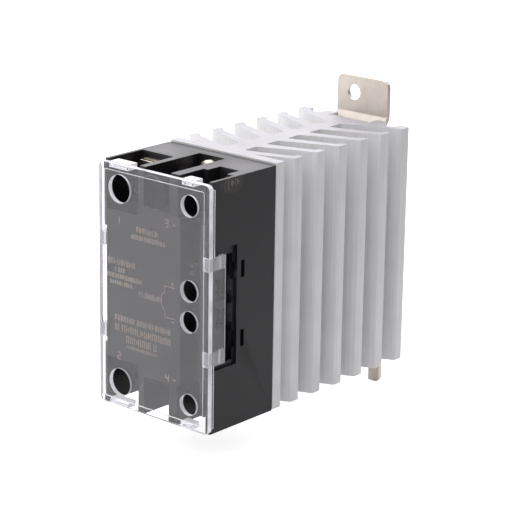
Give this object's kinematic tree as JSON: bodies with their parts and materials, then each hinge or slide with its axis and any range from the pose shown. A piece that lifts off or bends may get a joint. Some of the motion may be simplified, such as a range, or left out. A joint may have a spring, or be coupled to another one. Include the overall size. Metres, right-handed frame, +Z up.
{
  "type": "solid state relay",
  "caption": "Slim switching module: black terminal case under a clear clip-on cover, tall finned aluminium heat sink, and a rear bracket for a rail or a panel.",
  "frame": {"origin": "on the rear face of the rail bracket's plate, where a rail lies, at the middle of the heat sink's width and height", "axes": "+Z up, +Y to the rear towards the rail or panel, +X to the right of someone facing the terminals"},
  "size_m": [0.0466, 0.104, 0.1067],
  "materials": {
    "black_plastic": "fine spark-eroded texture, semi-matte",
    "clear_plastic": "clear polycarbonate, polished",
    "aluminium": "natural anodised extrusion with fine die lines, saw-cut ends",
    "nickel_steel": "nickel-plated sheet steel, warm satin",
    "zinc_screw": "zinc-plated steel",
    "plated_brass": "tin-plated brass strip",
    "base_metal": "plain rolled copper",
    "ceramic": "unglazed white alumina",
    "silicon": "dark, slightly metallic",
    "circuit_board": "green solder mask",
    "varistor_blue": "dipped epoxy coat",
    "capacitor_yellow": "moulded film capacitor box",
    "resistor_tan": "lacquered ceramic body",
    "thermal_grease": "matt white paste",
    "led_green": "tinted epoxy chip",
    "led_red": "tinted epoxy chip"
  },
  "bodies": {
    "relay": {"heat_sink": "aluminium", "thermal_pad": "thermal_grease", "base_plate": "base_metal", "ceramic_substrate": "ceramic", "thyristor_forward": "silicon", "thyristor_reverse": "silicon", "case": "black_plastic", "control_board": "circuit_board", "optocoupler": "black_plastic", "snubber_capacitor": "capacitor_yellow", "snubber_resistor": "resistor_tan", "varistor": "varistor_blue", "input_light_pipe": "clear_plastic", "alarm_light_pipe": "clear_plastic", "input_led": "led_green", "alarm_led": "led_red", "load_bar_1": "plated_brass", "load_bar_2": "plated_brass", "control_bar_1": "plated_brass", "control_bar_2": "plated_brass", "alarm_bar_1": "plated_brass", "alarm_bar_2": "plated_brass", "case_screw_top": "zinc_screw", "case_screw_bottom": "zinc_screw", "rail_bracket": "nickel_steel", "bracket_screw_1": "zinc_screw", "bracket_screw_2": "zinc_screw", "bracket_screw_3": "zinc_screw", "bracket_screw_4": "zinc_screw", "latch_rivet_upper": "zinc_screw", "latch_rivet_lower": "zinc_screw", "latch_spring": "zinc_screw"},
    "cover": {"terminal_cover": "clear_plastic"},
    "load_clamp_1": {"load_clamp_1": "nickel_steel"},
    "load_screw_1": {"load_screw_1": "zinc_screw"},
    "load_clamp_2": {"load_clamp_2": "nickel_steel"},
    "load_screw_2": {"load_screw_2": "zinc_screw"},
    "control_clamp_1": {"control_clamp_1": "nickel_steel"},
    "control_screw_1": {"control_screw_1": "zinc_screw"},
    "control_clamp_2": {"control_clamp_2": "nickel_steel"},
    "control_screw_2": {"control_screw_2": "zinc_screw"},
    "alarm_clamp_1": {"alarm_clamp_1": "nickel_steel"},
    "alarm_screw_1": {"alarm_screw_1": "zinc_screw"},
    "alarm_clamp_2": {"alarm_clamp_2": "nickel_steel"},
    "alarm_screw_2": {"alarm_screw_2": "zinc_screw"},
    "latch": {"rail_latch": "nickel_steel"}
  },
  "joints": [
    {"name": "cover_slide", "type": "slide", "parent": "relay", "child": "cover", "axis": [0, -1, 0], "range_m": [0, 0.02]},
    {"name": "load_clamp_1_slide", "type": "slide", "parent": "relay", "child": "load_clamp_1", "axis": [0, -1, 0], "range_m": [0, 0.0032]},
    {"name": "load_screw_1_turn", "type": "hinge", "parent": "load_clamp_1", "child": "load_screw_1", "pos_m": [-0.0148, -0.0885, 0.0314], "axis": [0, -1, 0], "range_deg": [0, 1440]},
    {"name": "load_clamp_2_slide", "type": "slide", "parent": "relay", "child": "load_clamp_2", "axis": [0, -1, 0], "range_m": [0, 0.0032]},
    {"name": "load_screw_2_turn", "type": "hinge", "parent": "load_clamp_2", "child": "load_screw_2", "pos_m": [-0.0148, -0.0885, -0.0323], "axis": [0, -1, 0], "range_deg": [0, 1440]},
    {"name": "control_clamp_1_slide", "type": "slide", "parent": "relay", "child": "control_clamp_1", "axis": [0, -1, 0], "range_m": [0, 0.0024]},
    {"name": "control_screw_1_turn", "type": "hinge", "parent": "control_clamp_1", "child": "control_screw_1", "pos_m": [0.01475, -0.0871, 0.0315], "axis": [0, -1, 0], "range_deg": [0, 1440]},
    {"name": "control_clamp_2_slide", "type": "slide", "parent": "relay", "child": "control_clamp_2", "axis": [0, -1, 0], "range_m": [0, 0.0024]},
    {"name": "control_screw_2_turn", "type": "hinge", "parent": "control_clamp_2", "child": "control_screw_2", "pos_m": [0.01475, -0.0871, -0.0324], "axis": [0, -1, 0], "range_deg": [0, 1440]},
    {"name": "alarm_clamp_1_slide", "type": "slide", "parent": "relay", "child": "alarm_clamp_1", "axis": [0, -1, 0], "range_m": [0, 0.002]},
    {"name": "alarm_screw_1_turn", "type": "hinge", "parent": "alarm_clamp_1", "child": "alarm_screw_1", "pos_m": [0.01475, -0.0912, 0.0045], "axis": [0, -1, 0], "range_deg": [0, 1440]},
    {"name": "alarm_clamp_2_slide", "type": "slide", "parent": "relay", "child": "alarm_clamp_2", "axis": [0, -1, 0], "range_m": [0, 0.002]},
    {"name": "alarm_screw_2_turn", "type": "hinge", "parent": "alarm_clamp_2", "child": "alarm_screw_2", "pos_m": [0.01475, -0.0912, -0.0054], "axis": [0, -1, 0], "range_deg": [0, 1440]},
    {"name": "latch_slide", "type": "slide", "parent": "relay", "child": "latch", "axis": [0, 0, -1], "range_m": [0, 0.0035], "stiffness_N_per_m": 900, "springref_m": -0.002, "deforming": ["latch_spring"]}
  ],
  "couplings": [
    {"joint": "load_screw_1_turn", "follows": "load_clamp_1_slide", "rad_per_m": 7854},
    {"joint": "load_screw_2_turn", "follows": "load_clamp_2_slide", "rad_per_m": 7854},
    {"joint": "control_screw_1_turn", "follows": "control_clamp_1_slide", "rad_per_m": 10472},
    {"joint": "control_screw_2_turn", "follows": "control_clamp_2_slide", "rad_per_m": 10472},
    {"joint": "alarm_screw_1_turn", "follows": "alarm_clamp_1_slide", "rad_per_m": 12566},
    {"joint": "alarm_screw_2_turn", "follows": "alarm_clamp_2_slide", "rad_per_m": 12566}
  ]
}
